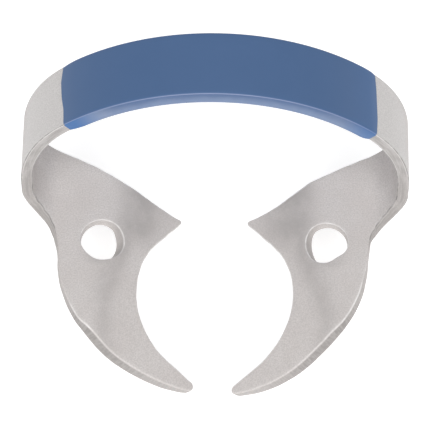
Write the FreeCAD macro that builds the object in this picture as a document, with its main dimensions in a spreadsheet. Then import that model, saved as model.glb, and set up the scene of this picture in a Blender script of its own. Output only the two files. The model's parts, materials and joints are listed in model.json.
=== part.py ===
import FreeCAD, Part
import math
import os

import Sketcher
from FreeCAD import Placement, Rotation, Vector

# Rubber dam clamp for a molar: one strip of spring steel, arched into a bow over the tooth and
# turned in at both feet to make two jaws with two prongs each.  A thin colour coat covers the
# middle of the bow.  The steel flexes, so it is cut into links at the places that bend most.
#
# Frame: millimetres, +Z up, +X to the right jaw, +Y towards the bow.  The origin is on the axis
# of the tooth opening, at the level of the prong tips.

DIMENSIONS = {
    # Strip and coat
    "strip_width": 5.1,
    "strip_thickness": 0.8,
    "coat_thickness": 0.08,
    # Bow, measured on its outer face in its own leaning plane
    "crown_radius": 16.0,
    "crown_half_angle": 42.0,
    "shoulder_radius": 9.0,
    "bow_lean": 12.0,
    "apex_setback": 11.3,
    "apex_height": 18.6,
    # Where the links meet and where the coat stops, as angles from the top of the bow
    "crown_link_angle": 22.0,
    "leg_link_angle": 68.0,
    "coat_half_angle": 43.5,
    # Foot of the leg
    "foot_radius": 1.8,
    "foot_flare": 2.45,
    "foot_taper": 1.3,
    # Jaw plate and sloping beak
    "plate_top": 5.5,
    "crease_inset": 7.2,
    "crease_setback": 2.2,
    "crease_turn": 17.5,
    "crease_radius": 2.5,
    "beak_slope": 30.0,
    # Uncut sheet the jaw is blanked from, each way from the crease
    "sheet_reach": 11.0,
    "sheet_span": 40.0,
    # Plan outline of a jaw
    "tooth_radius": 5.5,
    "rear_flare_angle": 43.0,
    "rear_flare_length": 2.73,
    "front_flare_angle": 56.0,
    "front_flare_length": 1.8,
    "rear_tip_radius": 0.24,
    "front_tip_radius": 0.38,
    "front_tip_x": 1.85,
    "outer_radius": 8.4,
    "outer_inset": 2.65,
    "outer_setback": 2.16,
    "rear_edge_x": 6.3,
    "rear_edge_y": 7.7,
    "rear_tip_x": 2.58,
    "rear_tip_y": 5.86,
    "rear_edge_radius": 25.0,
    "rear_prong_radius": 14.0,
    # Forceps hole
    "hole_diameter": 3.0,
    "hole_x": 8.0,
    "hole_y": 3.45,
}

FOOT_SECTIONS = 7
FOOT_FLARE_POWER = 2.5
FOOT_TAPER_POWER = 1.25
BLANKING_FRAME = 30


def make_sheet(doc):
    """Writes the driving dimensions into the document's spreadsheet."""
    sheet = doc.addObject("Spreadsheet::Sheet", "Dimensions")
    for row, (name, value) in enumerate(DIMENSIONS.items(), start=1):
        sheet.set(f"A{row}", name)
        sheet.set(f"B{row}", str(value))
        sheet.setAlias(f"B{row}", name)
    doc.recompute()


def value_of(doc, text):
    """Value of an expression on the spreadsheet."""
    return float(doc.Dimensions.evalExpression(text))


# Sketch helpers


def new_body(doc, label):
    body = doc.addObject("PartDesign::Body", label)
    body.Label = label
    return body


def new_sketch(body, name, role, offset=None):
    """Sketch on one of the body's own origin planes, moved by an offset in that plane's frame."""
    plane = next(item for item in body.Origin.OriginFeatures if item.Role == role)
    sketch = body.newObject("Sketcher::SketchObject", name)
    sketch.AttachmentSupport = [(plane, "")]
    sketch.MapMode = "FlatFace"
    if offset is not None:
        sketch.AttachmentOffset = offset
    return sketch


def bind_point(sketch, curve, end, x_text, y_text):
    """Holds one end of a curve at a place given by two expressions."""
    for kind, text in (("DistanceX", x_text), ("DistanceY", y_text)):
        value = value_of(sketch.Document, text)
        index = sketch.addConstraint(Sketcher.Constraint(kind, -1, 1, curve, end, value))
        sketch.setExpression(f"Constraints[{index}]", text)


def add_rectangle(sketch, left, right, bottom, top):
    """Rectangle between four sides, each given by an expression."""
    x0, x1, y0, y1 = (value_of(sketch.Document, text) for text in (left, right, bottom, top))
    corners = [Vector(x0, y0), Vector(x1, y0), Vector(x1, y1), Vector(x0, y1)]
    first = sketch.GeometryCount
    for k in range(4):
        sketch.addGeometry(Part.LineSegment(corners[k], corners[(k + 1) % 4]))
    for k in range(4):
        sketch.addConstraint(Sketcher.Constraint("Coincident", first + k, 2, first + (k + 1) % 4, 1))
        sketch.addConstraint(Sketcher.Constraint("Vertical" if k % 2 else "Horizontal", first + k))
    bind_point(sketch, first, 1, left, bottom)
    bind_point(sketch, first + 2, 1, right, top)


def add_axis(sketch, start, end):
    """Construction line between two points, each a pair of expressions; usable as Axis0, Axis1..."""
    ends = [Vector(*(value_of(sketch.Document, text) for text in point)) for point in (start, end)]
    line = sketch.addGeometry(Part.LineSegment(*ends), True)
    bind_point(sketch, line, 1, *start)
    bind_point(sketch, line, 2, *end)


def arc_between(start, end, radius):
    """Arc from start to end, bulging to the right of that direction when the radius is positive.

    It is always drawn anticlockwise, so a negative radius swaps its ends.
    """
    chord = end - start
    right = Vector(chord.y, -chord.x).normalize()
    reach = math.sqrt(radius**2 - (chord.Length / 2) ** 2)
    middle = (start + end) * 0.5 + right * math.copysign(abs(radius) - reach, radius)
    return Part.Arc(start, middle, end) if radius > 0 else Part.Arc(end, middle, start)


def add_outline(sketch, spans):
    """Closed outline: each span is its start point, as two expressions, and the radius to the next.

    A span without a radius is straight.  A positive radius bulges to the right of the direction
    of travel, a negative one to the left.
    """
    doc = sketch.Document
    points = [Vector(value_of(doc, x), value_of(doc, y)) for x, y, _ in spans]
    ends = []
    for k, (_, _, radius) in enumerate(spans):
        start, end = points[k], points[(k + 1) % len(points)]
        if radius is None:
            curve = sketch.addGeometry(Part.LineSegment(start, end))
            ends.append((curve, 1, 2))
            continue
        signed = value_of(doc, radius)
        curve = sketch.addGeometry(arc_between(start, end, signed))
        ends.append((curve, 1, 2) if signed > 0 else (curve, 2, 1))
        index = sketch.addConstraint(Sketcher.Constraint("Radius", curve, abs(signed)))
        sketch.setExpression(f"Constraints[{index}]", radius.lstrip("-"))
    for k, (x_text, y_text, _) in enumerate(spans):
        curve, start_end, finish = ends[k]
        following, following_start, _ = ends[(k + 1) % len(ends)]
        sketch.addConstraint(Sketcher.Constraint("Coincident", curve, finish, following, following_start))
        bind_point(sketch, curve, start_end, x_text, y_text)


def pad(body, name, sketch, length, midplane=False):
    feature = body.newObject("PartDesign::Pad", name)
    feature.Profile = sketch
    feature.Midplane = midplane
    feature.setExpression("Length", length)
    return feature


def revolve(body, name, sketch, axis, angle, reversed_turn=False, midplane=False):
    feature = body.newObject("PartDesign::Revolution", name)
    feature.Profile = sketch
    feature.ReferenceAxis = (sketch, [axis])
    feature.Reversed = reversed_turn
    feature.Midplane = midplane
    feature.setExpression("Angle", angle)
    return feature


def cut_through(body, name, sketch, keeps):
    """Pocket through the whole body, checked to remove material but leave some."""
    body.Document.recompute()
    before = body.Shape.Volume
    feature = body.newObject("PartDesign::Pocket", name)
    feature.Profile = sketch
    feature.Type = "ThroughAll"
    feature.Midplane = True
    body.Document.recompute()
    share = body.Shape.Volume / before
    if not keeps[0] < share < keeps[1]:
        raise RuntimeError(f"{body.Label}: {name} left {share:.2f} of the solid")
    return feature


# Bow


def lean_axes():
    """Up the bow's plane, and across its strip towards the back."""
    lean = math.radians(DIMENSIONS["bow_lean"])
    up = Vector(0, math.sin(lean), math.cos(lean))
    across = Vector(0, math.cos(lean), -math.sin(lean))
    return up, across


def bow_point(angle):
    """Point of the bow's outer face on its centre line, at an angle from the top, and its outward
    direction."""
    up, _ = lean_axes()
    turn = math.radians(angle)
    outward = Vector(math.sin(turn), 0, 0) + up * math.cos(turn)
    apex = Vector(0, DIMENSIONS["apex_setback"], DIMENSIONS["apex_height"])
    centre = apex - up * DIMENSIONS["crown_radius"]
    if angle <= DIMENSIONS["crown_half_angle"]:
        return centre + outward * DIMENSIONS["crown_radius"], outward
    corner = math.radians(DIMENSIONS["crown_half_angle"])
    corner_outward = Vector(math.sin(corner), 0, 0) + up * math.cos(corner)
    centre = centre + corner_outward * (DIMENSIONS["crown_radius"] - DIMENSIONS["shoulder_radius"])
    return centre + outward * DIMENSIONS["shoulder_radius"], outward


def bow_placement(angle):
    """Frame on the bow's outer face: X down the right side, Y across the strip, Z outward."""
    _, across = lean_axes()
    point, outward = bow_point(angle)
    return Placement(point, Rotation(across.cross(outward), across, outward, "ZXY"))


def add_strip_section(sketch, margin):
    """Cross-section of the strip, grown by a margin, below the outer face."""
    width = f"(Dimensions.strip_width / 2 + {margin})"
    add_rectangle(sketch, f"-{width}", width, f"-Dimensions.strip_thickness - {margin}", margin)


def add_turning_axis(sketch, radius):
    """Axis across the strip, at the centre of one of the bow's arcs."""
    add_axis(sketch, ("-1", f"-Dimensions.{radius}"), ("1", f"-Dimensions.{radius}"))


def bow_crown(doc):
    """Top link of the bow."""
    body = new_body(doc, "bow_crown")
    sketch = new_sketch(body, "crown_section", "YZ_Plane")
    add_strip_section(sketch, "0")
    add_turning_axis(sketch, "crown_radius")
    revolve(body, "crown_arc", sketch, "Axis0", "2 * Dimensions.crown_link_angle", midplane=True)
    body.Placement = bow_placement(0)
    return body


def sweep_shoulder(body, sketch, last_angle):
    """Turns a section back up the crown's arc to the link, and down the shoulder's arc."""
    add_turning_axis(sketch, "crown_radius")
    add_turning_axis(sketch, "shoulder_radius")
    crown_part = "Dimensions.crown_half_angle - Dimensions.crown_link_angle"
    shoulder_part = f"Dimensions.{last_angle} - Dimensions.crown_half_angle"
    revolve(body, "crown_side", sketch, "Axis0", crown_part, reversed_turn=True)
    revolve(body, "shoulder_side", sketch, "Axis1", shoulder_part)
    body.Placement = bow_placement(DIMENSIONS["crown_half_angle"])


def bow_shoulder(doc):
    """Right shoulder link: the end of the crown's arc and the start of the tighter one."""
    body = new_body(doc, "bow_shoulder_right")
    sketch = new_sketch(body, "shoulder_section", "YZ_Plane")
    add_strip_section(sketch, "0")
    sweep_shoulder(body, sketch, "leg_link_angle")
    return body


def coat_crown(doc):
    """Coat round the crown link, a thin sleeve."""
    body = new_body(doc, "colour_coat_crown")
    sketch = new_sketch(body, "coat_section", "YZ_Plane")
    add_strip_section(sketch, "Dimensions.coat_thickness")
    add_strip_section(sketch, "0")
    add_turning_axis(sketch, "crown_radius")
    revolve(body, "coat_arc", sketch, "Axis0", "2 * Dimensions.crown_link_angle", midplane=True)
    body.Placement = bow_placement(0)
    return body


def coat_shoulder(doc):
    """Coat round the upper part of the right shoulder link."""
    body = new_body(doc, "colour_coat_right")
    sketch = new_sketch(body, "coat_section", "YZ_Plane")
    add_strip_section(sketch, "Dimensions.coat_thickness")
    add_strip_section(sketch, "0")
    sweep_shoulder(body, sketch, "coat_half_angle")
    return body


# Leg and foot


def foot_axis():
    """Half-width of the bow and the centre of the foot's bend, on the right side."""
    half_width = bow_point(90)[0].x
    bend_x = half_width - DIMENSIONS["foot_radius"] - DIMENSIONS["strip_thickness"]
    bend_z = DIMENSIONS["plate_top"] + DIMENSIONS["foot_radius"]
    return half_width, bend_x, bend_z


def leg_edge(side, height):
    """Y of the leg's front (-1) or rear (1) edge where it crosses a height."""
    up, across = lean_axes()
    corner = bow_point(90)[0] + across * (side * DIMENSIONS["strip_width"] / 2)
    return corner.y + (height - corner.z) * up.y / up.z


def bow_leg(doc):
    """Right leg link: the end of the bow's arc, the straight leg and the bend at its foot."""
    half_width, bend_x, bend_z = foot_axis()
    _, across = lean_axes()
    end_point = bow_point(90)[0]
    body = new_body(doc, "bow_leg_right")

    lean = Rotation(Vector(1, 0, 0), -DIMENSIONS["bow_lean"])
    offset = Placement(Vector(0, end_point.y, end_point.z), lean)
    section = new_sketch(body, "leg_section", "XY_Plane", offset)
    inner = f"{half_width} - Dimensions.strip_thickness"
    half_strip = "Dimensions.strip_width / 2"
    add_rectangle(section, inner, f"{half_width}", f"-{half_strip}", half_strip)
    axis_x = f"{half_width} - Dimensions.shoulder_radius"
    add_axis(section, (axis_x, "-1"), (axis_x, "1"))
    revolve(body, "arc_end", section, "Axis0", "90 - Dimensions.leg_link_angle", reversed_turn=True)

    side_offset = Placement(Vector(0, 0, half_width - DIMENSIONS["strip_thickness"]), Rotation())
    wedge = new_sketch(body, "leg_side", "YZ_Plane", side_offset)
    top = [end_point + across * (side * DIMENSIONS["strip_width"] / 2) for side in (-1, 1)]
    add_outline(wedge, [
        (f"{top[0].y}", f"{top[0].z}", None),
        (f"{leg_edge(-1, bend_z)}", f"{bend_z}", None),
        (f"{leg_edge(1, bend_z)}", f"{bend_z}", None),
        (f"{top[1].y}", f"{top[1].z}", None),
    ])
    pad(body, "leg", wedge, "Dimensions.strip_thickness")

    sections = []
    for k in range(FOOT_SECTIONS):
        share = k / (FOOT_SECTIONS - 1)
        turned = Placement(Vector(bend_x, bend_z, 0), Rotation(Vector(0, 0, 1), -90 * share))
        sketch = new_sketch(body, f"foot_section_{k}", "XZ_Plane", turned * Placement(
            Vector(), Rotation(Vector(1, 0, 0), 90)))
        front = f"{leg_edge(-1, bend_z)} - Dimensions.foot_flare * {share ** FOOT_FLARE_POWER}"
        rear = f"{leg_edge(1, bend_z)} - Dimensions.foot_taper * {share ** FOOT_TAPER_POWER}"
        outer = "Dimensions.foot_radius + Dimensions.strip_thickness"
        add_rectangle(sketch, "Dimensions.foot_radius", outer, f"-({rear})", f"-({front})")
        sections.append(sketch)
    loft = body.newObject("PartDesign::AdditiveLoft", "foot")
    loft.Profile = sections[0]
    loft.Sections = sections[1:]
    return body


# Jaw


def add_sheet_profile(sketch):
    """Side view of the plate and the beak: flat, a soft crease, then down at the beak's slope."""
    slope = "Dimensions.beak_slope"
    bend_reach = f"Dimensions.crease_radius * tan({slope} / 2)"
    reach = "Dimensions.sheet_reach"
    turned = [f"{bend_reach} - Dimensions.crease_radius * sin({slope})",
              f"Dimensions.crease_radius * (cos({slope}) - 1)"]
    under_radius = "(Dimensions.crease_radius - Dimensions.strip_thickness)"
    under = [f"{bend_reach} - {under_radius} * sin({slope})",
             f"{under_radius} * cos({slope}) - Dimensions.crease_radius"]
    along = [f" - {reach} * cos({slope})", f" - {reach} * sin({slope})"]
    add_outline(sketch, [
        (reach, "0", None),
        (bend_reach, "0", "Dimensions.crease_radius"),
        (turned[0], turned[1], None),
        (turned[0] + along[0], turned[1] + along[1], None),
        (under[0] + along[0], under[1] + along[1], None),
        (under[0], under[1], f"-{under_radius}"),
        (bend_reach, "-Dimensions.strip_thickness", None),
        (reach, "-Dimensions.strip_thickness", None),
    ])


def on_tooth_circle(angle, length):
    """Expressions for the end of a straight flare that leaves the tooth circle at an angle."""
    turn = f"Dimensions.{angle}"
    x_text = f"Dimensions.tooth_radius * cos({turn}) - Dimensions.{length} * sin({turn})"
    y_text = f"Dimensions.tooth_radius * sin({turn}) + Dimensions.{length} * cos({turn})"
    return x_text, y_text


def add_jaw_outline(sketch, bend_x, front_y, rear_y):
    """Plan of the right jaw, anticlockwise from the back of the foot's bend line."""
    circle = "Dimensions.tooth_radius"
    rear_turn, front_turn = "Dimensions.rear_flare_angle", "Dimensions.front_flare_angle"
    rear_x, rear_flare_y = on_tooth_circle("rear_flare_angle", "rear_flare_length")
    front_x, front_flare_y = on_tooth_circle("front_flare_angle", "front_flare_length")
    outer_drop = "sqrt(Dimensions.outer_radius ^ 2 - (Dimensions.outer_inset - Dimensions.front_tip_x) ^ 2)"
    add_outline(sketch, [
        (f"{bend_x}", f"{rear_y}", "Dimensions.rear_edge_radius"),
        ("Dimensions.rear_edge_x", "Dimensions.rear_edge_y", "-Dimensions.rear_prong_radius"),
        ("Dimensions.rear_tip_x", "Dimensions.rear_tip_y", "Dimensions.rear_tip_radius"),
        (rear_x, rear_flare_y, None),
        (f"{circle} * cos({rear_turn})", f"{circle} * sin({rear_turn})", f"-{circle}"),
        (f"{circle} * cos({front_turn})", f"-{circle} * sin({front_turn})", None),
        (front_x, f"-({front_flare_y})", "Dimensions.front_tip_radius"),
        ("Dimensions.front_tip_x", f"Dimensions.outer_setback - {outer_drop}", "Dimensions.outer_radius"),
        ("Dimensions.outer_inset + Dimensions.outer_radius", "Dimensions.outer_setback", None),
        (f"{bend_x}", f"{front_y}", None),
    ])


def jaw(doc):
    """Right jaw: the flat plate with the forceps hole, and the beak that slopes to two prongs."""
    _, bend_x, bend_z = foot_axis()
    front_y = leg_edge(-1, bend_z) - DIMENSIONS["foot_flare"]
    rear_y = leg_edge(1, bend_z) - DIMENSIONS["foot_taper"]
    body = new_body(doc, "jaw_right")

    corner = Vector(DIMENSIONS["crease_inset"], DIMENSIONS["plate_top"], -DIMENSIONS["crease_setback"])
    crease = Placement(corner, Rotation(Vector(0, 1, 0), DIMENSIONS["crease_turn"]))
    profile = new_sketch(body, "sheet_profile", "XZ_Plane", crease)
    add_sheet_profile(profile)
    pad(body, "sheet", profile, "Dimensions.sheet_span", midplane=True)

    outline = new_sketch(body, "plan_outline", "XY_Plane")
    add_jaw_outline(outline, bend_x, front_y, rear_y)
    low, high = f"-{BLANKING_FRAME}", f"{BLANKING_FRAME}"
    add_rectangle(outline, low, high, low, high)
    cut_through(body, "blank", outline, keeps=(0.05, 0.5))

    hole = new_sketch(body, "forceps_hole_circle", "XY_Plane")
    radius = value_of(doc, "Dimensions.hole_diameter / 2")
    centre = Vector(DIMENSIONS["hole_x"], DIMENSIONS["hole_y"])
    circle = hole.addGeometry(Part.Circle(centre, Vector(0, 0, 1), radius))
    bind_point(hole, circle, 3, "Dimensions.hole_x", "Dimensions.hole_y")
    index = hole.addConstraint(Sketcher.Constraint("Diameter", circle, 2 * radius))
    hole.setExpression(f"Constraints[{index}]", "Dimensions.hole_diameter")
    cut_through(body, "forceps_hole", hole, keeps=(0.8, 0.99))
    return body


# Assembly


def mirrored(doc, source):
    """Left-hand twin of a right-hand piece."""
    twin = doc.addObject("Part::Mirroring", source.Label.replace("right", "left"))
    twin.Source = source
    twin.Normal = Vector(1, 0, 0)
    twin.Label = source.Label.replace("right", "left")
    return twin


def check_document(doc, pieces):
    """Stops if any object failed to build or any piece isn't one valid solid."""
    for item in doc.Objects:
        if {"Invalid", "Error"} & set(item.State):
            raise RuntimeError(f"{item.Name} failed: {item.State}")
    for piece in pieces:
        shape = piece.Shape
        if shape.isNull() or not shape.isValid() or len(shape.Solids) != 1:
            raise RuntimeError(f"{piece.Label} isn't one valid solid")


def main():
    doc = FreeCAD.newDocument("rubber_dam_clamp")
    make_sheet(doc)
    pieces = [bow_crown(doc), coat_crown(doc)]
    right_side = [bow_shoulder(doc), coat_shoulder(doc), bow_leg(doc), jaw(doc)]
    doc.recompute()
    pieces += right_side + [mirrored(doc, piece) for piece in right_side]
    doc.recompute()
    check_document(doc, pieces)
    os.makedirs("parts", exist_ok=True)
    for piece in pieces:
        piece.Shape.exportStep(f"parts/{piece.Label}.step")


main()
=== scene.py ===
import json
import math

import bmesh
import bpy
import numpy as np
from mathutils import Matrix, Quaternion, Vector
from mathutils.geometry import delaunay_2d_cdt


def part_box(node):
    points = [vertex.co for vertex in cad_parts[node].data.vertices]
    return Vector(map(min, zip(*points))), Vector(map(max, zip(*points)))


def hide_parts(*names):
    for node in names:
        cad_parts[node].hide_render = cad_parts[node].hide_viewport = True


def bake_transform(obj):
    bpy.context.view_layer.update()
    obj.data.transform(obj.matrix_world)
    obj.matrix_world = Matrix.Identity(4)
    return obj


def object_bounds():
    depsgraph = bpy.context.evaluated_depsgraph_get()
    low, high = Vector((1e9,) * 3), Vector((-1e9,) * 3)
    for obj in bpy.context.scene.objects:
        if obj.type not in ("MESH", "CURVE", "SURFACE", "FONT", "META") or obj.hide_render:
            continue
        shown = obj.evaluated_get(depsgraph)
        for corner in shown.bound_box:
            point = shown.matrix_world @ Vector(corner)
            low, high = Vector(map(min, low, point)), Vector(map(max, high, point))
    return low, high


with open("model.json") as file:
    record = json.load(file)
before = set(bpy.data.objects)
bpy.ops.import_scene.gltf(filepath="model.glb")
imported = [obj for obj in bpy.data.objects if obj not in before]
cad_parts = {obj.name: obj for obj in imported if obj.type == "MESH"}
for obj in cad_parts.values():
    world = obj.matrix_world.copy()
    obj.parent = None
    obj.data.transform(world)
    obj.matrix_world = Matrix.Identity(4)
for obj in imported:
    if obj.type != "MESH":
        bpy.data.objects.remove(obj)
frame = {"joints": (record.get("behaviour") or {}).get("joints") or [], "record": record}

# Rubber dam clamp: a colour-coated bow over bare spring steel, and on each side one steel sheet
# that runs from under the coat, down the leg and round the foot, to the jaw and its prongs.
# Shapes are worked out in millimetres in the frame's axes, and written to meshes in metres.

MM = 0.001
cad_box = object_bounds()
hinges = {joint["name"]: joint for joint in frame["joints"]}
mounts = {mount["name"]: mount for mount in frame["record"]["mounts"]}

# ---------------------------------------------------------------- sizes

foot_low, foot_high = (np.array(corner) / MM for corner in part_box("bow_leg_right"))
plate_high = np.array(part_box("jaw_right")[1]) / MM

HALF_WIDTH = foot_high[0]
BEND_X = foot_low[0]
PLATE_TOP = plate_high[2]
THICKNESS = PLATE_TOP - foot_low[2]
STRIP_WIDTH = 5.1
FOOT_RADIUS = HALF_WIDTH - BEND_X - THICKNESS

LEAN = -math.asin(hinges["crown_flex_left"]["axis"][2])
UP = np.array([0, math.sin(LEAN), math.cos(LEAN)])
ACROSS = np.array([0, math.cos(LEAN), -math.sin(LEAN)])
SIDEWAYS = np.array([1.0, 0, 0])

COAT = 0.08
CROWN_RADIUS = 16.0
CORNER = math.radians(42)
SHOULDER_RADIUS = (HALF_WIDTH - CROWN_RADIUS * math.sin(CORNER)) / (1 - math.sin(CORNER))
hinge_point = np.array(hinges["crown_flex_right"]["pos_m"]) / MM
hinge_turn = math.asin(hinge_point[0] / (CROWN_RADIUS + COAT))
hinge_outward = math.sin(hinge_turn) * SIDEWAYS + math.cos(hinge_turn) * UP
CROWN_CENTRE = hinge_point - hinge_outward * (CROWN_RADIUS + COAT)
corner_outward = math.sin(CORNER) * SIDEWAYS + math.cos(CORNER) * UP
SHOULDER_CENTRE = CROWN_CENTRE + corner_outward * (CROWN_RADIUS - SHOULDER_RADIUS)

FOOT_MID = FOOT_RADIUS + THICKNESS / 2
FOOT_LENGTH = FOOT_MID * math.pi / 2
FOOT_CENTRE_Z = PLATE_TOP + FOOT_RADIUS
LEG_X = BEND_X + FOOT_LENGTH
FOOT_FLARE, FLARE_POWER = 2.45, 2.2
FOOT_TAPER, TAPER_POWER = 1.3, 1.25

CREASE = np.array([7.2, 2.2])
CREASE_TURN = math.radians(17.5)
TO_TOOTH = -np.array([math.cos(CREASE_TURN), math.sin(CREASE_TURN)])
CREASE_TOP_RADIUS = 2.5
CREASE_MID = CREASE_TOP_RADIUS - THICKNESS / 2
BEAK_SLOPE = math.radians(30)
CREASE_START = CREASE_TOP_RADIUS * math.tan(BEAK_SLOPE / 2)
CREASE_LENGTH = CREASE_MID * BEAK_SLOPE

TOOTH_RADIUS = mounts["tooth_grip"]["dims"]["r_mm"]
REAR_FLARE_TURN, REAR_FLARE = 43, 2.5
FRONT_FLARE_TURN, FRONT_FLARE = -56, 1.8
OUTER_RADIUS, OUTER_SETBACK, OUTER_TIP_X = 8.4, 2.16, 1.85
OUTER_CENTRE = (11.05 - OUTER_RADIUS, OUTER_SETBACK)
REAR_TIP = (2.55, 5.84)

# The two sides came out a little different: the left prong is fuller, the right one's tip is set
# further forward, each rear edge bulges its own way, each hole was punched and drawn its own way,
# the shears left their own slope on each outer edge, and the forming tools worked the sheet along
# their own line.
FULLNESS = {"left": 0.1, "right": -0.1}
REAR_EDGE = {"left": (6.2, 7.7), "right": (6.75, 8.13)}
REAR_EDGE_RADIUS = {"left": 25.0, "right": 100.0}
REAR_PRONG_RADIUS = {"left": 19.0, "right": 9.9}
TIP_SHIFT = {"left": 0.04, "right": -0.12}
FOOT_FILL = {"left": 0.28, "right": 0.08}
FOOT_FILL_REACH = 0.9
HOLE_LEAN = {"left": 0.34, "right": 0.2}
OUTER_SLOPE = {  # shares of the way from foot to tip, and how far the cut slopes there
    "left": ((0, 0.2, 0.36, 0.42, 0.7, 0.88, 1), (0.08, 0.17, 0.22, 0.32, 0.3, 0.2, 0.03)),
    "right": ((0, 0.1, 0.3, 0.6, 0.85, 1), (0.07, 0.25, 0.3, 0.33, 0.22, 0.03)),
}
OUTER_SHINE = {"left": (0.36, 0.1), "right": (0.25, 0.25)}  # share where its corner shines, spread
WORKED_LINE = {  # from front to rear, and the X of the mark there
    "left": ((-6.0, -3.2, -0.3, 5.8), (7.3, 7.8, 7.8, 5.75)),
    "right": ((-5.1, -2.3, -0.3, 2.7, 5.5), (7.5, 8.3, 7.7, 6.6, 6.0)),
}
WORKED_TURN = math.radians(20)
FOOT_SLOPE = 0.12
FOOT_WAVES = {  # length, phase and height of each wave along the ragged edge inside the foot
    "left": ((1.3, 0.3, 0.06), (0.7, 2.0, 0.05)),
    "right": ((1.1, 1.4, 0.06), (0.6, 0.6, 0.06)),
}
EDGE_WAVES = {  # the same, round the whole outline
    "left": ((8.3, 3.1, 0.012), (4.1, 1.0, 0.008), (1.4, 2.2, 0.004)),
    "right": ((9.1, 0.4, 0.012), (3.7, 2.0, 0.008), (1.6, 5.0, 0.004)),
}
HOLE_SHAPE = {  # angle, width and height of each bump on the rim
    "left": ((200, 40, 0.14), (318, 26, -0.06)),
    "right": ((303, 27, -0.2), (238, 25, 0.07)),
}

# The coat was masked by hand: where each end stops, from the front edge to the rear edge.
COAT_ENDS = {"left": (41.0, 41.2, 42.1, 42.8, 41.9), "right": (45.9, 46.5, 46.2, 45.9, 45.1)}
COAT_FADE = {"left": (0.0, 1.0), "right": (0.4, 0.7)}  # how deep its end is, on the face and the band
COAT_FADE_START, COAT_FADE_LENGTH = 1.3, math.radians(9)
COAT_GLOW = {"left": 0.7, "right": 0.2}
COAT_GLOW_AT, COAT_GLOW_SPREAD = 33, 5
STEEL_SEAM = math.radians(37)
COAT_GAP = 0.004
COAT_UNDER = 0.2
COAT_THIN = 0.03
COAT_TAPER = math.radians(5)
STRIP_ROUND, COAT_ROUND, COAT_END_ROUND = 0.16, 0.15, 0.17
FRONT_FACING = 180
CORNER_FACING, CORNER_WIDTH = 135, 9
BAND_EDGE = (0.7, 0.9)

# ---------------------------------------------------------------- the bow's strip


def strip_point(turn, across, lift):
    """Point of the bow's right half: angle from the top, place across, height over the outer face."""
    turn, across, lift = np.broadcast_arrays(turn, across, lift)
    crown = (turn <= CORNER)[..., None]
    centre = np.where(crown, CROWN_CENTRE, SHOULDER_CENTRE)
    radius = np.where(crown, CROWN_RADIUS, SHOULDER_RADIUS)
    outward = np.sin(turn)[..., None] * SIDEWAYS + np.cos(turn)[..., None] * UP
    return centre + outward * (radius + lift[..., None]) + ACROSS * across[..., None]


def strip_section(margin, under, radius, steps=6):
    """Rounded cross-section of the strip, grown by a margin on three sides and another underneath.

    Gives places across, heights, and the direction each point faces as an angle from ACROSS.
    """
    half, low, high = STRIP_WIDTH / 2 + margin, -THICKNESS - under, margin
    corners = [(half, high, 90), (half, low, 0), (-half, low, -90), (-half, high, -180)]
    turns = np.radians(-90 * np.arange(steps + 1) / steps)
    rounds = []
    for across, lift, first in corners:
        centre = (across - math.copysign(radius, across), lift + (radius if lift == low else -radius))
        facing = math.radians(first) + turns
        rounds.append(np.stack([centre[0] + radius * np.cos(facing),
                                centre[1] + radius * np.sin(facing), facing], -1))
    runs = []
    for k, block in enumerate(rounds):
        start, end = block[-1].copy(), rounds[(k + 1) % 4][0]
        count = 16 if k % 2 else 4
        end = np.array([end[0], end[1], start[2]])
        shares = np.arange(1, count)[:, None] / count
        runs += [block, start + (end - start) * shares]
    return np.concatenate(runs)


# ---------------------------------------------------------------- the side's flat blank


def formed(blank_x, blank_y, height):
    """Bends the flat blank into the right side.

    The blank lies in the plate's plane, with X measured along the sheet: the plate and beak up to
    BEND_X, then the foot, the leg and the bow.  Height is above the sheet's middle, towards the
    plate's top, which is the bow's inside.
    """
    given = (np.asarray(value, float) for value in (blank_x, blank_y, height))
    blank_x, blank_y, height = np.broadcast_arrays(*given)

    flat = np.stack([blank_x, blank_y], -1)
    reach = CREASE_START + (flat - CREASE) @ TO_TOOTH
    turn = np.clip(reach / CREASE_MID, 0, BEAK_SLOPE)
    beyond = np.maximum(reach - CREASE_LENGTH, 0)
    travel = np.minimum(reach, 0) + CREASE_MID * np.sin(turn) + beyond * math.cos(BEAK_SLOPE)
    drop = CREASE_MID * (1 - np.cos(turn)) + beyond * math.sin(BEAK_SLOPE)
    plan = flat + TO_TOOTH * (travel - reach + height * np.sin(turn))[..., None]
    plate_z = PLATE_TOP - THICKNESS / 2 - drop + height * np.cos(turn)
    plate = np.concatenate([plan, plate_z[..., None]], -1)

    bend = np.clip((blank_x - BEND_X) / FOOT_MID, 0, math.pi / 2)
    foot = np.stack([BEND_X + (FOOT_MID - height) * np.sin(bend), blank_y,
                     FOOT_CENTRE_Z - (FOOT_MID - height) * np.cos(bend)], -1)

    leg_z = FOOT_CENTRE_Z + blank_x - LEG_X
    leg = np.stack([HALF_WIDTH - THICKNESS / 2 - height, blank_y, leg_z], -1)
    offset = np.stack([np.zeros_like(blank_y), blank_y, leg_z], -1) - SHOULDER_CENTRE * [0, 1, 1]
    climbed = offset @ UP
    shoulder_run = (math.pi / 2 - CORNER) * (SHOULDER_RADIUS - THICKNESS / 2)
    on_shoulder = math.pi / 2 - climbed / (SHOULDER_RADIUS - THICKNESS / 2)
    on_crown = CORNER - (climbed - shoulder_run) / (CROWN_RADIUS - THICKNESS / 2)
    bow = strip_point(np.where(climbed > shoulder_run, on_crown, on_shoulder), offset @ ACROSS,
                      -THICKNESS / 2 - height)

    shape = np.where((blank_x > BEND_X)[..., None], foot, plate)
    shape = np.where((blank_x > LEG_X)[..., None], leg, shape)
    return np.where(((blank_x > LEG_X) & (climbed > 0))[..., None], bow, shape)


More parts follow.
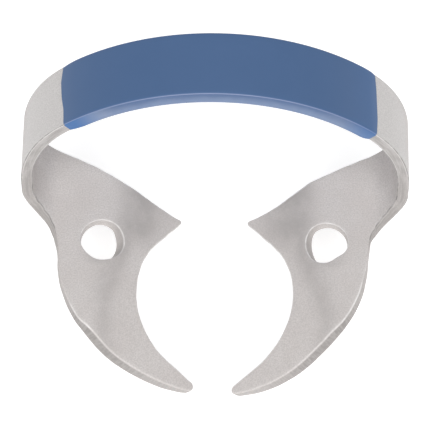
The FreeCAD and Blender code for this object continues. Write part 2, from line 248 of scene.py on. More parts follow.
def blank_of_plan(points, face):
    """Places on the blank of plan points that lie on the formed top (1) or bottom (-1) face."""
    points = np.asarray(points, float)
    radius = CREASE_MID + face * THICKNESS / 2
    reach = CREASE_START + (points - CREASE) @ TO_TOOTH
    turn = np.arcsin(np.clip(reach / radius, 0, math.sin(BEAK_SLOPE)))
    beyond = np.maximum(reach - radius * math.sin(BEAK_SLOPE), 0) / math.cos(BEAK_SLOPE)
    length = np.minimum(reach, 0) + CREASE_MID * turn + beyond
    return points + TO_TOOTH * (length - reach)[..., None]


def leg_edge(side):
    """Blank Y of the front (-1) or rear (1) edge where the leg meets the foot."""
    corner = SHOULDER_CENTRE + ACROSS * side * STRIP_WIDTH / 2
    return corner[1] + (FOOT_CENTRE_Z - corner[2]) * math.tan(LEAN)


def foot_edge(side, pull, power):
    """Edge of the foot from the leg to the plate."""
    share = np.linspace(0, 1, 24)
    swing = math.tan(LEAN) * FOOT_LENGTH * share * (1 - share) ** 2
    return np.stack([LEG_X - FOOT_LENGTH * share, leg_edge(side) - swing - pull * share**power], -1)


def seam_corner(side):
    """Blank corner of the sheet at the seam under the coat."""
    climb = (math.pi / 2 - CORNER) * (SHOULDER_RADIUS - THICKNESS / 2)
    climb += (CORNER - STEEL_SEAM) * (CROWN_RADIUS - THICKNESS / 2)
    corner = SHOULDER_CENTRE + UP * climb + ACROSS * side * STRIP_WIDTH / 2
    return np.array([[LEG_X + corner[2] - FOOT_CENTRE_Z, corner[1]]])


def arc(centre, radius, start, end, count=80):
    """Points of an arc between two angles in degrees."""
    angles = np.radians(np.linspace(start, end, count))
    return np.array(centre) + radius * np.stack([np.cos(angles), np.sin(angles)], -1)


def bulged(start, end, radius, count=24):
    """Arc between two points, bulging to the right of its direction, or left if negative."""
    start, end = np.array(start, float), np.array(end, float)
    chord = end - start
    length = np.linalg.norm(chord)
    right = np.array([chord[1], -chord[0]]) / length
    half = math.asin(length / 2 / abs(radius))
    centre = (start + end) / 2 - right * radius * math.cos(half)
    first = math.degrees(math.atan2(*(start - centre)[::-1]))
    turn = math.copysign(math.degrees(2 * half), radius)
    return arc(centre, abs(radius), first, first + turn, count)


def tip_round(start, end):
    """Nearly half a circle between the two sides of a prong's tip."""
    return bulged(start, end, 0.52 * math.dist(start, end))


def flare_end(turn, length):
    """End of the straight run that leaves the tooth circle at an angle."""
    angle, away = math.radians(turn), math.copysign(1, turn)
    return (TOOTH_RADIUS * math.cos(angle) - away * length * math.sin(angle),
            TOOTH_RADIUS * math.sin(angle) + away * length * math.cos(angle))


EDGE_RADIUS = {
    "front seam": 0.04, "front foot": 0.1, "outer": 0.11, "front tip": 0.15, "tooth": 0.14,
    "rear tip": 0.13, "rear prong": 0.12, "rear edge": 0.15, "rear foot": 0.15, "rear seam": 0.04,
}
EDGE_WEAR = {  # how bright its corner is worn, or how dark a line it shows, if negative
    "front seam": -0.5, "front foot": -0.8, "front tip": 0.6, "tooth": 1.0,
    "rear tip": 1.0, "rear prong": 0.8, "rear edge": 0.8, "rear foot": 0.4, "rear seam": 0.4,
}
OUTER_WEAR, OUTER_WEAR_MORE = 0.2, 0.5


def outline_runs(hand):
    """Runs of the side's outline by name, clockwise from the front of the seam under the coat."""
    tip_drop = math.sqrt(OUTER_RADIUS**2 - (OUTER_CENTRE[0] - OUTER_TIP_X) ** 2)
    outer_turn = math.degrees(math.atan2(-tip_drop, OUTER_TIP_X - OUTER_CENTRE[0]))
    outer = blank_of_plan(arc(OUTER_CENTRE, OUTER_RADIUS, 0, outer_turn), -1)
    front_end = blank_of_plan([flare_end(FRONT_FLARE_TURN, FRONT_FLARE)], 1)[0]
    tooth = arc((0, 0), TOOTH_RADIUS, FRONT_FLARE_TURN, REAR_FLARE_TURN)
    rear_tip = tip_round(REAR_TIP, flare_end(REAR_FLARE_TURN, REAR_FLARE))[::-1]
    rear_prong = bulged(REAR_EDGE[hand], REAR_TIP, -REAR_PRONG_RADIUS[hand])[::-1]
    foot_end = (BEND_X, leg_edge(1) - FOOT_TAPER)
    rear_edge = bulged(foot_end, REAR_EDGE[hand], REAR_EDGE_RADIUS[hand])[::-1]
    return {
        "front seam": seam_corner(-1),
        "front foot": foot_edge(-1, FOOT_FLARE, FLARE_POWER),
        "outer": outer,
        "front tip": tip_round(front_end, outer[-1])[::-1],
        "tooth": blank_of_plan(tooth, 1),
        "rear tip": blank_of_plan(rear_tip, 1),
        "rear prong": blank_of_plan(rear_prong, 1),
        "rear edge": blank_of_plan(rear_edge, 1),
        "rear foot": foot_edge(1, FOOT_TAPER, TAPER_POWER)[::-1],
        "rear seam": seam_corner(1),
    }


def side_outline(hand):
    """Blank outline of the side's bottom face.

    The other columns are the radius wanted on the edge, how brightly its corner is worn (negative
    for a dark line), and how far the top face's edge is set in from the bottom's.
    """
    runs = outline_runs(hand)
    foot = runs["front foot"]
    shares = np.linspace(0, 1, len(runs["outer"]))
    bright, spread = OUTER_SHINE[hand]
    shine = OUTER_WEAR + OUTER_WEAR_MORE * np.exp(-((shares - bright) / spread) ** 2)
    outer_slope = np.interp(shares, *OUTER_SLOPE[hand])
    wear = EDGE_WEAR | {"outer": shine}
    slope = {
        "front foot": FOOT_SLOPE + wander(foot[:, 0] + foot[:, 1], FOOT_WAVES[hand]),
        "outer": outer_slope,
        "front tip": outer_slope[-1],
    }
    blocks = []
    for run, points in runs.items():
        values = (EDGE_RADIUS[run], wear[run], slope.get(run, 0.0))
        columns = [np.broadcast_to(value, len(points)) for value in values]
        blocks.append(np.column_stack([points, *columns]))
    return np.concatenate(blocks)


def resampled(points, spacing, blur):
    """Closed outline at an even spacing, with kinks rounded off by a blur given in samples."""
    closed = np.vstack([points, points[:1]])
    steps = np.linalg.norm(np.diff(closed[:, :2], axis=0), axis=1)
    length = np.concatenate([[0], np.cumsum(steps)])
    count = int(length[-1] / spacing)
    at = np.arange(count) * length[-1] / count
    even = np.stack([np.interp(at, length, column) for column in closed.T], -1)
    reach = np.arange(-3 * blur, 3 * blur + 1)
    weights = np.exp(-0.5 * (reach / blur) ** 2)
    weights /= weights.sum()
    return sum(weight * np.roll(even, int(shift), axis=0) for weight, shift in zip(weights, reach))


def outward_normals(loop):
    """Outward unit normals of a closed clockwise loop."""
    along = np.roll(loop, -1, axis=0) - np.roll(loop, 1, axis=0)
    along /= np.linalg.norm(along, axis=1)[:, None]
    return np.stack([-along[:, 1], along[:, 0]], -1)


def rounding(loop, normals, wanted):
    """Edge radius along a loop: the wanted one, less where the outline turns tightly."""
    turn = np.cross(normals, np.roll(normals, -1, axis=0))
    limit = 0.55 * np.linalg.norm(loop[1] - loop[0]) / np.maximum(-turn, 1e-3)
    radius = np.minimum(wanted, limit)
    shifts = range(-4, 5)
    lowest = np.min([np.roll(radius, shift) for shift in shifts], axis=0)
    return np.mean([np.roll(lowest, shift) for shift in shifts], axis=0)


def wander(length, waves):
    """Slow unevenness along an edge, from waves given as lengths, phases and heights."""
    return sum(height * np.sin(2 * math.pi * length / wave + phase) for wave, phase, height in waves)


def inside(points, loop):
    """Which points lie inside a closed loop."""
    x, y = points[:, 0][:, None], points[:, 1][:, None]
    x0, y0 = loop.T
    x1, y1 = np.roll(loop, -1, axis=0).T
    with np.errstate(divide="ignore", invalid="ignore"):
        hit = ((y0 > y) != (y1 > y)) & (x < (x1 - x0) * (y - y0) / (y1 - y0) + x0)
    return hit.sum(1) % 2 == 1


def between(points, loops):
    """Which points lie inside the first loop and outside the others."""
    keep = inside(points, loops[0])
    for loop in loops[1:]:
        keep &= ~inside(points, loop)
    return keep


def grid_points(loops, spacing):
    """Even triangular grid over the area between the loops, clear of their edges."""
    low, high = loops[0].min(0), loops[0].max(0)
    rows = np.arange(low[1], high[1], spacing * math.sqrt(3) / 2)
    columns = np.arange(low[0], high[0], spacing)
    points = np.array([(x + spacing / 2 * (k % 2), y) for k, y in enumerate(rows) for x in columns])
    points = points[between(points, loops)]
    edges = np.concatenate(loops)
    clearance = np.array([np.min(np.sum((edges - point) ** 2, axis=1)) for point in points])
    return points[clearance > (0.6 * spacing) ** 2]


def triangles(loops, extra):
    """Triangles over the area between the loops, as indices into the loops' points and extras."""
    points = np.concatenate(loops + [extra])
    edges, first = [], 0
    for loop in loops:
        count = len(loop)
        edges += [(first + k, first + (k + 1) % count) for k in range(count)]
        first += count
    found = delaunay_2d_cdt([Vector(point) for point in points], edges, [], 1, 1e-7)
    faces, origins = found[2:4]
    corners = np.array([[origins[corner][0] for corner in face] for face in faces])
    return corners[between(points[corners].mean(1), loops)]


EDGE_SPACING = 0.08
EDGE_BLUR = 2
FACE_SPACING = 0.2
ROUND_STEPS = 5
WALL_STEPS = 4


def edge_rows():
    """Profile of the sheet's edge from the top face to the bottom face.

    Each row has its inset and its drop as shares of the edge's radius, the share of the wall above
    it, and how much wear its corner shows.
    """
    turns = np.linspace(0, math.pi / 2, ROUND_STEPS + 1)
    upper = [(1 - math.sin(turn), 1 - math.cos(turn), 0.0, math.sin(2 * turn)) for turn in turns]
    wall = [(0.0, 1.0, share, 0.0) for share in np.linspace(0, 1, WALL_STEPS + 1)[1:-1]]
    lower = [(inset, drop, 1.0, wear) for inset, drop, _, wear in reversed(upper)]
    return upper + wall + lower


def row_height(radius, drop, share):
    """Height of an edge row over the sheet's middle."""
    if share == 1:
        return -THICKNESS / 2 + radius * drop
    return THICKNESS / 2 - radius * drop - (THICKNESS - 2 * radius) * share


def add_mesh(name, points, faces, flip, marks):
    """Mesh object from points in millimetres, mirrored to the left if asked."""
    points = np.array(points, float) * MM * ([-1, 1, 1] if flip else [1, 1, 1])
    mesh = bpy.data.meshes.new(name)
    mesh.from_pydata(points.tolist(), [], [tuple(int(k) for k in face) for face in faces])
    mesh.polygons.foreach_set("use_smooth", [True] * len(mesh.polygons))
    for mark, values in marks.items():
        attribute = mesh.attributes.new(mark, "FLOAT", "POINT")
        attribute.data.foreach_set("value", np.asarray(values, np.float32))
    shell = bmesh.new()
    shell.from_mesh(mesh)
    bmesh.ops.recalc_face_normals(shell, faces=shell.faces)
    shell.to_mesh(mesh)
    shell.free()
    piece = bpy.data.objects.new(name, mesh)
    bpy.context.scene.collection.objects.link(piece)
    return piece


def tube(rings):
    """Faces between successive closed rings of points, each ring given as indices."""
    faces = []
    for first, second in zip(rings, rings[1:]):
        count = len(first)
        faces += [(first[k], first[(k + 1) % count], second[(k + 1) % count], second[k])
                  for k in range(count)]
    return faces


def hole_centre(hand):
    """Centre of the forceps hole in the right side's plan."""
    return np.abs(np.array(mounts[f"forceps_hole_{hand}"]["pos_m"][:2])) / MM


HOLE_UNEVEN = 0.01
HOLE_LEAN_TURN, HOLE_LEAN_LEAST = 0.35, 0.04
HOLE_RADIUS, HOLE_WEAR, HOLE_CUT = 0.08, 0.6, 0.2


def hole_outline(hand):
    """Forceps hole on the blank, clockwise, and how far its wall leans in at the bottom.

    The crease drew the wall out on the tooth's side, and the punched rim isn't quite round.
    """
    angles = -np.linspace(0, 2 * math.pi, 121)[:-1]
    radius = mounts[f"forceps_hole_{hand}"]["dims"]["r_mm"] * (1 + HOLE_UNEVEN * np.sin(3 * angles + 1))
    for place, width, height in HOLE_SHAPE[hand]:
        radius = radius + height * np.exp(-((np.degrees(angles) % 360 - place) / width) ** 2)
    circle = hole_centre(hand) + radius[:, None] * np.stack([np.cos(angles), np.sin(angles)], -1)
    drawn = np.maximum(np.cos(angles - math.pi + HOLE_LEAN_TURN), 0) ** 1.5
    return blank_of_plan(circle, 1), HOLE_LEAN[hand] * drawn + HOLE_LEAN_LEAST


REAR_START, REAR_SPAN = -4.0, 9.0
WORKED_WIDTH, WORKED_WIDTH_MORE = 0.7, 0.2
WORKED_DEPTH, WORKED_DEPTH_MORE = 0.4, 0.6
ROOT_REACH, ROOT_START, ROOT_SPAN, ROOT_DEPTH = 2.5, 2.8, 1.5, 1.1
DRAWN_RADIUS, DRAWN_WIDTH, DRAWN_DEPTH = 1.6, 0.35, 0.6
DRAWN_SIDE = -np.array([0.55, 0.83])


def bend_mark(points, hand):
    """How much the forming tools worked the sheet.

    They did so along their line, more so towards the back, over the root of the rear prong, and
    under the hole's drawn side.
    """
    reach = (np.interp(points[:, 1], *WORKED_LINE[hand]) - points[:, 0]) * math.cos(WORKED_TURN)
    rear = np.clip((points[:, 1] - REAR_START) / REAR_SPAN, 0, 1)
    line = np.exp(-(reach / (WORKED_WIDTH + WORKED_WIDTH_MORE * rear)) ** 2)
    line *= WORKED_DEPTH + WORKED_DEPTH_MORE * rear
    root = np.exp(-(np.maximum(reach, 0) / ROOT_REACH) ** 2) * (reach > 0)
    root *= np.clip((points[:, 1] - ROOT_START) / ROOT_SPAN, 0, 1)
    from_hole = points - blank_of_plan([hole_centre(hand)], 1)
    drawn = np.exp(-((np.linalg.norm(from_hole, axis=1) - DRAWN_RADIUS) / DRAWN_WIDTH) ** 2)
    drawn *= np.clip(from_hole @ DRAWN_SIDE, 0, 1)
    return np.maximum.reduce([line, ROOT_DEPTH * root, DRAWN_DEPTH * drawn])


LOWER_WEAR, INNER_LINE = 0.45, -0.9
LEAST_CUT, BOW_CUT = 0.35, 0.5
CUT_AT, CUT_SPREAD = -3.8, 2.2
BOW_STREAKS, PRONG_STREAKS = (0.7, 5.0), (7.0, 1.2)


def edge_marks(loop, depth, share, gleam, wear, cutness):
    """Marks of one row of an edge: how worn or dark its corner is, how roughly it was cut, how far
    through the sheet it lies, and its place in the pattern of streaks."""
    on_bow = loop[:, 0] > BEND_X
    if share == 1:
        wear = np.where(on_bow, INNER_LINE, LOWER_WEAR * wear)
    roughest = np.where(on_bow, BOW_CUT, np.exp(-((loop[:, 1] - CUT_AT) / CUT_SPREAD) ** 2))
    steps = np.linalg.norm(np.roll(loop, -1, axis=0) - loop, axis=1)
    return {
        "rim": gleam * wear,
        "cut": np.clip(LEAST_CUT + roughest, 0, 1) * cutness,
        "through": depth,
        "along": np.cumsum(steps * np.where(on_bow, BOW_STREAKS[0], PRONG_STREAKS[0])),
        "across": depth * np.where(on_bow, BOW_STREAKS[1], PRONG_STREAKS[1]),
    }


PRONG_TOP, PRONG_FADE = 4.5, 4.0
PRONG_TIP, TIP_FADE = -6.4, 1.6
TIP_SHIFT_START, TIP_SHIFT_SPAN = -4.2, 2.0


def shaped_outline(hand):
    """Outline of the top face at an even spacing, with the side's own unevenness, and its columns."""
    outline = resampled(side_outline(hand), EDGE_SPACING, EDGE_BLUR)
    outline, (wanted, worn, slope) = outline[:, :2], outline[:, 2:].T
    length = np.arange(len(outline)) * EDGE_SPACING
    y = outline[:, 1]
    on_prongs = np.clip((PRONG_TOP - y) / PRONG_FADE, 0, 1) * np.clip((y - PRONG_TIP) / TIP_FADE, 0, 1)
    growth = FULLNESS[hand] * on_prongs + wander(length, EDGE_WAVES[hand]) * (outline[:, 0] < LEG_X)
    from_notch = np.linalg.norm(outline - [BEND_X, leg_edge(-1) - FOOT_FLARE], axis=1)
    growth += FOOT_FILL[hand] * np.exp(-(from_notch / FOOT_FILL_REACH) ** 2)
    outline = outline + outward_normals(outline) * growth[:, None]
    outline[:, 1] += TIP_SHIFT[hand] * np.clip((TIP_SHIFT_START - y) / TIP_SHIFT_SPAN, 0, 1)
    return outline - outward_normals(outline) * slope[:, None], wanted, worn, slope


def steel_side(name, hand):
    """One side of the clamp from the seam under the coat to the prongs, as one rounded sheet."""
    outline, wanted, worn, slope = shaped_outline(hand)
    hole, lean = hole_outline(hand)
    loops = [outline, hole]
    normals = [outward_normals(outline), -outward_normals(hole)]
    radii = [rounding(outline, normals[0], wanted), np.full(len(hole), HOLE_RADIUS)]
    hole_wear = np.full(len(hole), HOLE_WEAR)
    edges = list(zip(loops, normals, radii, (slope, lean), (worn, hole_wear), (1, HOLE_CUT)))
    insets = [loop - normal * radius[:, None] for loop, normal, radius, *_ in edges]
    extra = grid_points(insets, FACE_SPACING)
    found = triangles(insets, extra)

    rows = edge_rows()
    points, marks, faces, rings, start = [], [], [], [], 0
    for loop, normal, radius, slant, wear, cutness in edges:
        count = len(loop)
        for inset, drop, share, gleam in rows:
            height = row_height(radius, drop, share)
            depth = 0.5 - height / THICKNESS
            place = loop + normal * (slant * depth - radius * inset)[:, None]
            points.append(formed(place[:, 0], place[:, 1], height))
            marks.append(edge_marks(loop, depth, share, gleam, wear, cutness))
            marks[-1]["bent"] = bend_mark(place, hand)
        around = [start + row * count + np.arange(count) for row in range(len(rows))]
        faces += tube(around)
        rings.append((around[0], around[-1]))
        start += count * len(rows)
    for face, height in ((0, THICKNESS / 2), (1, -THICKNESS / 2)):
        index = np.concatenate([ring[face] for ring in rings] + [start + np.arange(len(extra))])
        faces += [tuple(index[corners]) for corners in found]
        points.append(formed(extra[:, 0], extra[:, 1], height))
        plain = np.zeros(len(extra))
        marks.append({"rim": plain, "cut": plain, "through": plain + face, "along": plain,
                      "across": plain, "bent": bend_mark(extra, hand)})
        start += len(extra)
    marks = {mark: np.concatenate([block[mark] for block in marks]) for mark in marks[0]}
    return add_mesh(name, np.concatenate(points), faces, hand == "left", marks)


def bow_core(name, hand, steps=70):
    """Bare strip under the coat, from the top of the bow to the seam."""
    section = strip_section(0, 0, STRIP_ROUND)
    turns = np.linspace(0, STEEL_SEAM, steps + 1)[:, None]
    points = strip_point(turns, section[:, 0], section[:, 1]).reshape(-1, 3)
    rings = np.arange(len(points)).reshape(steps + 1, -1)
    faces = tube(rings) + [tuple(rings[0]), tuple(rings[-1])]
    return add_mesh(name, points, faces, hand == "left", {})


def coat_marks(hand, section, turns, end):
    """Marks on the coat's outside: its pale front band and the line on its corner, the depth below
    the outer face, the light on the front band, and the deeper blue near its end."""
    facing = np.degrees(section[:, 2]) % 360
    band = np.maximum(np.cos(np.radians(facing - FRONT_FACING)), 0)
    near_end = np.clip(COAT_FADE_START - (end - turns) / COAT_FADE_LENGTH, 0, 1)
    marks = {
        "band": band,
        "line": np.exp(-((facing - CORNER_FACING) / CORNER_WIDTH) ** 2),
        "depth": np.clip(-section[:, 1] / THICKNESS, 0, 1),
        "glow": COAT_GLOW[hand] * np.exp(-((np.degrees(turns) - COAT_GLOW_AT) / COAT_GLOW_SPREAD) ** 2),
        "end": near_end * np.interp(band, BAND_EDGE, COAT_FADE[hand]),
    }
    return {mark: np.broadcast_to(values, turns.shape) for mark, values in marks.items()}


def colour_coat(name, hand, steps=110):
    """Half of the coat: a sleeve round the bow from its top to the hand-masked end."""
    shares = np.linspace(0, 1, steps + 1)[:, None]
    inner = strip_section(COAT_GAP, COAT_GAP, STRIP_ROUND)
    ends = COAT_ENDS[hand]
    stops = np.linspace(-STRIP_WIDTH / 2, STRIP_WIDTH / 2, len(ends))
    full = strip_section(COAT, COAT_UNDER, COAT_ROUND)
    thin = strip_section(COAT_THIN, COAT_THIN, COAT_END_ROUND)
    end = np.radians(np.interp(full[:, 0], stops, ends))
    turns = shares * end
    left = np.clip((end - turns) / COAT_TAPER, 0, 1)
    fullness = (left * (2 - left))[..., None]
    outer = thin + (full - thin) * fullness
    outside = strip_point(turns, outer[..., 0], outer[..., 1])
    inside_skin = strip_point(turns, inner[:, 0], inner[:, 1])
    count = len(inner)
    points = np.concatenate([outside.reshape(-1, 3), inside_skin.reshape(-1, 3)])
    outer_rings = np.arange((steps + 1) * count).reshape(steps + 1, count)
    inner_rings = outer_rings + (steps + 1) * count
    faces = tube(outer_rings) + tube(inner_rings)
    for row in (0, steps):
        faces += tube([outer_rings[row], inner_rings[row]])
    marks = {mark: np.concatenate([values.ravel(), np.zeros(values.size)])
             for mark, values in coat_marks(hand, full, turns, end).items()}
    piece = add_mesh(name, points, faces, hand == "left", marks)
    borders = [set(rings[row]) for rings in (outer_rings, inner_rings) for row in (0, steps)]
    for edge in piece.data.edges:
        if any(set(edge.vertices) <= border for border in borders):
            edge.use_edge_sharp = True
    return piece


# ---------------------------------------------------------------- materials


class Recipe:
    """Node material, built by joining named values."""

    def __init__(self, name):
        self.material = bpy.data.materials.new(name)
        self.material.use_nodes = True
        self.tree = self.material.node_tree
        self.shader = self.tree.nodes["Principled BSDF"]
        place = self.node("ShaderNodeTexCoord")
        self.place = self.node("ShaderNodeVectorMath", operation="SCALE")
        self.tree.links.new(place.outputs["Object"], self.place.inputs[0])
        self.place.inputs["Scale"].default_value = 1 / MM

    def node(self, kind, **settings):
        node = self.tree.nodes.new(kind)
        for key, value in settings.items():
            setattr(node, key, value)
        return node

    def join(self, source, target):
        """Links an output, or sets a plain value."""
        if isinstance(source, bpy.types.NodeSocket):
            self.tree.links.new(source, target)
        else:
            target.default_value = source

    def noise(self, scale, detail, place=None, distortion=0):
        """Noise over the piece's own millimetres, or over another place."""
        noise = self.node("ShaderNodeTexNoise")
        noise.inputs["Scale"].default_value = scale
        noise.inputs["Detail"].default_value = detail
        noise.inputs["Distortion"].default_value = distortion
        self.join(place if place is not None else self.place.outputs[0], noise.inputs["Vector"])
        return noise.outputs["Fac"]

    def mark(self, name):
        """Value that the mesh holds at each point."""
        return self.node("ShaderNodeAttribute", attribute_name=name).outputs["Fac"]

    def maths(self, operation, *values):
        node = self.node("ShaderNodeMath", operation=operation)
        for socket, value in zip(node.inputs, values):
            self.join(value, socket)
        return node.outputs[0]

    def ramp(self, value, low, high, start=0.0, stop=1.0):
        """Smooth step from one number to another as the value goes from low to high."""
        node = self.node("ShaderNodeMapRange", interpolation_type="SMOOTHSTEP")
        for key, number in (("From Min", low), ("From Max", high), ("To Min", start), ("To Max", stop)):
            node.inputs[key].default_value = number
        self.join(value, node.inputs["Value"])
        return node.outputs["Result"]

    def blend(self, factor, first, second):
        node = self.node("ShaderNodeMix", data_type="RGBA")
        for value, socket in ((factor, node.inputs["Factor"]), (first, node.inputs["A"]),
                              (second, node.inputs["B"])):
            self.join(value, socket)
        return node.outputs["Result"]

    def bump(self, height, distance, strength, under=None):
        """Bumps of a height in millimetres, on top of others if given."""
        node = self.node("ShaderNodeBump")
        node.inputs["Strength"].default_value = strength
        node.inputs["Distance"].default_value = distance * MM
        self.join(height, node.inputs["Height"])
        if under is not None:
            self.join(under, node.inputs["Normal"])
        return node.outputs["Normal"]

    def vector(self, *parts):
        node = self.node("ShaderNodeCombineXYZ")
        for socket, value in zip(node.inputs, parts):
            self.join(value, socket)
        return node.outputs[0]


STEEL_TINTS = {
    "plain": (0.615, 0.575, 0.558, 1),
    "cloud": (0.65, 0.615, 0.6, 1),
    "patch": (0.56, 0.53, 0.51, 1),
    # Painted light: the legs are tinted lighter upwards, standing in for light from the sides.
    "upper": (0.74, 0.72, 0.712, 1),
    "speck": (0.48, 0.45, 0.435, 1),
    "upper speck": (0.6, 0.583, 0.575, 1),
    "worked": (0.385, 0.36, 0.35, 1),
    "streak": (0.31, 0.29, 0.28, 1),
    "line": (0.3, 0.285, 0.275, 1),
    "gleam": (0.9, 0.885, 0.875, 1),
}
# Heights over which the legs are painted lighter.
LIT_LEGS_FROM, LIT_LEGS_TO = PLATE_TOP + 2, PLATE_TOP + 6


def steel_material():
    """Tumbled spring steel: matt and finely grained, painted lighter up the legs, with painted shade
    where it was bent, drawn streaks on its cut edges, painted highlights on its corners, and painted
    dark lines inside the feet."""
    steel = Recipe("spring_steel")
    tints = STEEL_TINTS
    cloud = steel.ramp(steel.noise(0.4, 4), 0.35, 0.65)
    patch = steel.ramp(steel.noise(1.5, 3), 0.4, 0.7)
    grain = steel.noise(10, 4)
    tint = steel.blend(cloud, tints["plain"], tints["cloud"])
    tint = steel.blend(steel.maths("MULTIPLY", patch, 0.2), tint, tints["patch"])

    place = steel.node("ShaderNodeSeparateXYZ")
    steel.join(steel.place.outputs[0], place.inputs[0])
    # Painted light: a lighter tint and lighter specks up the legs.
    upper = steel.ramp(place.outputs["Z"], LIT_LEGS_FROM, LIT_LEGS_TO, 0, 0.8)
    tint = steel.blend(upper, tint, tints["upper"])
    speck = steel.blend(upper, tints["speck"], tints["upper speck"])
    tint = steel.blend(steel.ramp(grain, 0.3, 0.7, 0, 0.7), tint, speck)

    uneven = steel.ramp(steel.noise(0.9, 3), 0.35, 0.6, 0.75, 1)
    worked = steel.maths("MULTIPLY", steel.mark("bent"), uneven)
    tint = steel.blend(steel.maths("MULTIPLY", worked, 0.85), tint, tints["worked"])

    from_middle = steel.maths("ABSOLUTE", steel.maths("SUBTRACT", steel.mark("through"), 0.5))
    wall = steel.maths("MULTIPLY", steel.ramp(from_middle, 0.3, 0.45, 1, 0), steel.mark("cut"))
    along_wall = steel.vector(steel.mark("along"), steel.mark("across"), 0.0)
    streaks = steel.noise(1.0, 4, along_wall, 0.3)
    dark = steel.maths("MULTIPLY", wall, steel.ramp(streaks, 0.35, 0.65, 0.65, 1))
    tint = steel.blend(dark, tint, tints["streak"])

    broken = steel.ramp(steel.noise(1.6, 2), 0.4, 0.6, 0.5, 1)
    line = steel.maths("MULTIPLY", steel.ramp(steel.mark("rim"), -0.7, 0, 1.2, 0), broken)
    tint = steel.blend(line, tint, tints["line"])
    gleam = steel.maths("MULTIPLY", steel.ramp(steel.mark("rim"), 0, 1), broken)
    tint = steel.blend(gleam, tint, tints["gleam"])

    fine = steel.bump(grain, 0.006, 0.6)
    dented = steel.bump(patch, 0.01, 0.3, fine)
    drawn = steel.bump(steel.maths("MULTIPLY", streaks, wall), 0.05, 0.5, dented)
    steel.join(tint, steel.shader.inputs["Base Color"])
    steel.join(0.15, steel.shader.inputs["Metallic"])
    steel.join(steel.ramp(grain, 0.3, 0.7, 0.55, 0.68), steel.shader.inputs["Roughness"])
    steel.join(drawn, steel.shader.inputs["Normal"])
    return steel.material


COAT_TINTS = {
    "face": (0.07, 0.139, 0.287, 1),
    "face haze": (0.076, 0.148, 0.303, 1),
    "band top": (0.075, 0.132, 0.265, 1),
    "band foot": (0.16, 0.225, 0.37, 1),
    "glow": (0.235, 0.285, 0.4, 1),
    "line": (0.36, 0.38, 0.55, 1),
    "end": (0.043, 0.14, 0.35, 1),
}


def coat_material():
    """Blue coat, paler down its front band, with a pale line on its corner and bluer ends."""
    coat = Recipe("colour_coat")
    tints = COAT_TINTS
    face = coat.blend(coat.noise(0.6, 3), tints["face"], tints["face haze"])
    cloudy = coat.ramp(coat.noise(0.7, 2), 0.3, 0.7, -0.1, 0.1)
    shade = coat.ramp(coat.maths("ADD", coat.mark("depth"), cloudy), 0, 1)
    band = coat.blend(shade, tints["band top"], tints["band foot"])
    band = coat.blend(coat.mark("glow"), band, tints["glow"])
    tint = coat.blend(coat.ramp(coat.mark("band"), *BAND_EDGE), face, band)
    tint = coat.blend(coat.maths("MULTIPLY", coat.mark("line"), 0.65), tint, tints["line"])
    tint = coat.blend(coat.mark("end"), tint, tints["end"])
    coat.join(tint, coat.shader.inputs["Base Color"])
    coat.join(0.5, coat.shader.inputs["Roughness"])
    coat.join(coat.bump(coat.noise(1.3, 2), 0.01, 0.3), coat.shader.inputs["Normal"])
    return coat.material


# ---------------------------------------------------------------- pieces


CROWN_BLEND = math.radians(3), STEEL_SEAM - 0.02
LEG_BLEND = math.radians(46), math.radians(88)

steel, coat = steel_material(), coat_material()
for hand in ("left", "right"):
    top = strip_point(CROWN_BLEND[0], 0, 0)
    beside = top + SIDEWAYS * ((strip_point(CROWN_BLEND[1], 0, 0) - top) @ SIDEWAYS)
    core = bow_core(f"bow_core_{hand}", hand)
    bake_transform(core)
    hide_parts("bow_crown", f"bow_shoulder_{hand}")
    core.data.materials.append(steel)

    sleeve = colour_coat(f"colour_coat_{hand}_half", hand)
    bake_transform(sleeve)
    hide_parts("colour_coat_crown", f"colour_coat_{hand}")
    sleeve.data.materials.append(coat)

    side = steel_side(f"steel_side_{hand}", hand)
    upper = strip_point(LEG_BLEND[0], 0, 0)
    lower = upper + UP * ((strip_point(LEG_BLEND[1], 0, 0) - upper) @ UP)
    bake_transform(side)
    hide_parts(f"bow_leg_{hand}", f"jaw_{hand}", f"bow_shoulder_{hand}")
    side.data.materials.append(steel)

# ---------------------------------------------------------------- floor, light and camera

CENTRE = Vector((0, 5, 7)) * MM
FLOOR_HALF, FLOOR_GAP = 0.6, 0.0001
FLOOR_GLOW = 0.5
DOME_LEVEL = 0.26
LIGHT_DISTANCE = 0.5
SOFT_BOXES = {  # direction from the clamp, side of the square in metres, radiance
    "front_box": ((0, -0.5, 0.87), 0.5, 2.75),
    "top_box": ((0, 0.407, 0.914), 0.3, 0.4),
    "left_box": ((-0.5, -0.42, 0.76), 0.3, 1.1),
    "right_box": ((0.5, -0.42, 0.76), 0.3, 1.1),
}
CAMERA_PLACE = (0.00077, -0.09588, 0.2521)
CAMERA_TURN = (67.66, 0.42, 0.48)  # degrees of elevation, yaw and roll
CAMERA_LENS, CAMERA_SENSOR = 313.5, 36


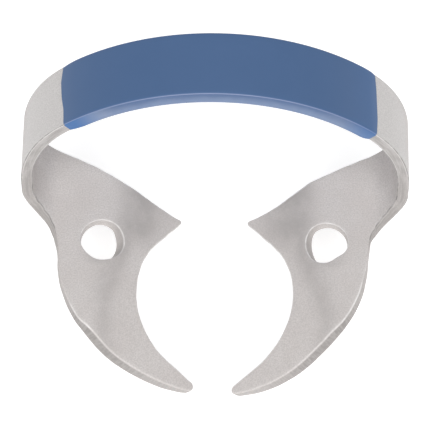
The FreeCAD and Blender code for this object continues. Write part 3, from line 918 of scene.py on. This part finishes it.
def floor():
    """Pale plain floor just under the clamp."""
    size, level = FLOOR_HALF, cad_box[0].z - FLOOR_GAP
    mesh = bpy.data.meshes.new("floor")
    corners = [(-size, -size, level), (size, -size, level), (size, size, level), (-size, size, level)]
    mesh.from_pydata(corners, [], [(0, 1, 2, 3)])
    plane = bpy.data.objects.new("floor", mesh)
    bpy.context.scene.collection.objects.link(plane)
    paper = Recipe("floor")
    paper.join((0.8, 0.8, 0.8, 1), paper.shader.inputs["Base Color"])
    paper.join(1.0, paper.shader.inputs["Roughness"])
    paper.join((1, 1, 1, 1), paper.shader.inputs["Emission Color"])
    paper.join(FLOOR_GLOW, paper.shader.inputs["Emission Strength"])
    mesh.materials.append(paper.material)


def soft_box(name, direction, size, radiance):
    """Square area light of a given radiance that faces the clamp."""
    data = bpy.data.lights.new(name, "AREA")
    data.size = size
    data.energy = radiance * math.pi * size**2
    light = bpy.data.objects.new(name, data)
    towards = Vector(direction).normalized()
    light.location = CENTRE + towards * LIGHT_DISTANCE
    light.rotation_euler = towards.to_track_quat("Z", "Y").to_euler()
    bpy.context.scene.collection.objects.link(light)


def camera():
    """Looks down on the clamp from the front."""
    data = bpy.data.cameras.new("camera")
    data.sensor_width = CAMERA_SENSOR
    data.lens = CAMERA_LENS
    data.clip_start, data.clip_end = 0.01, 10
    view = bpy.data.objects.new("camera", data)
    view.location = CAMERA_PLACE
    elevation, yaw, roll = (math.radians(angle) for angle in CAMERA_TURN)
    back = Vector((math.sin(yaw) * math.cos(elevation), -math.cos(yaw) * math.cos(elevation),
                   math.sin(elevation)))
    view.rotation_mode = "QUATERNION"
    view.rotation_quaternion = back.to_track_quat("Z", "Y") @ Quaternion((0, 0, 1), roll)
    bpy.context.scene.collection.objects.link(view)
    bpy.context.scene.camera = view


def surroundings():
    """Dim, even white dome."""
    world = bpy.data.worlds.new("studio")
    world.use_nodes = True
    background = world.node_tree.nodes["Background"]
    background.inputs["Color"].default_value = (1, 1, 1, 1)
    background.inputs["Strength"].default_value = DOME_LEVEL
    bpy.context.scene.world = world


floor()
camera()
surroundings()
for name, settings in SOFT_BOXES.items():
    soft_box(name, *settings)
bpy.context.scene.view_settings.view_transform = "Standard"
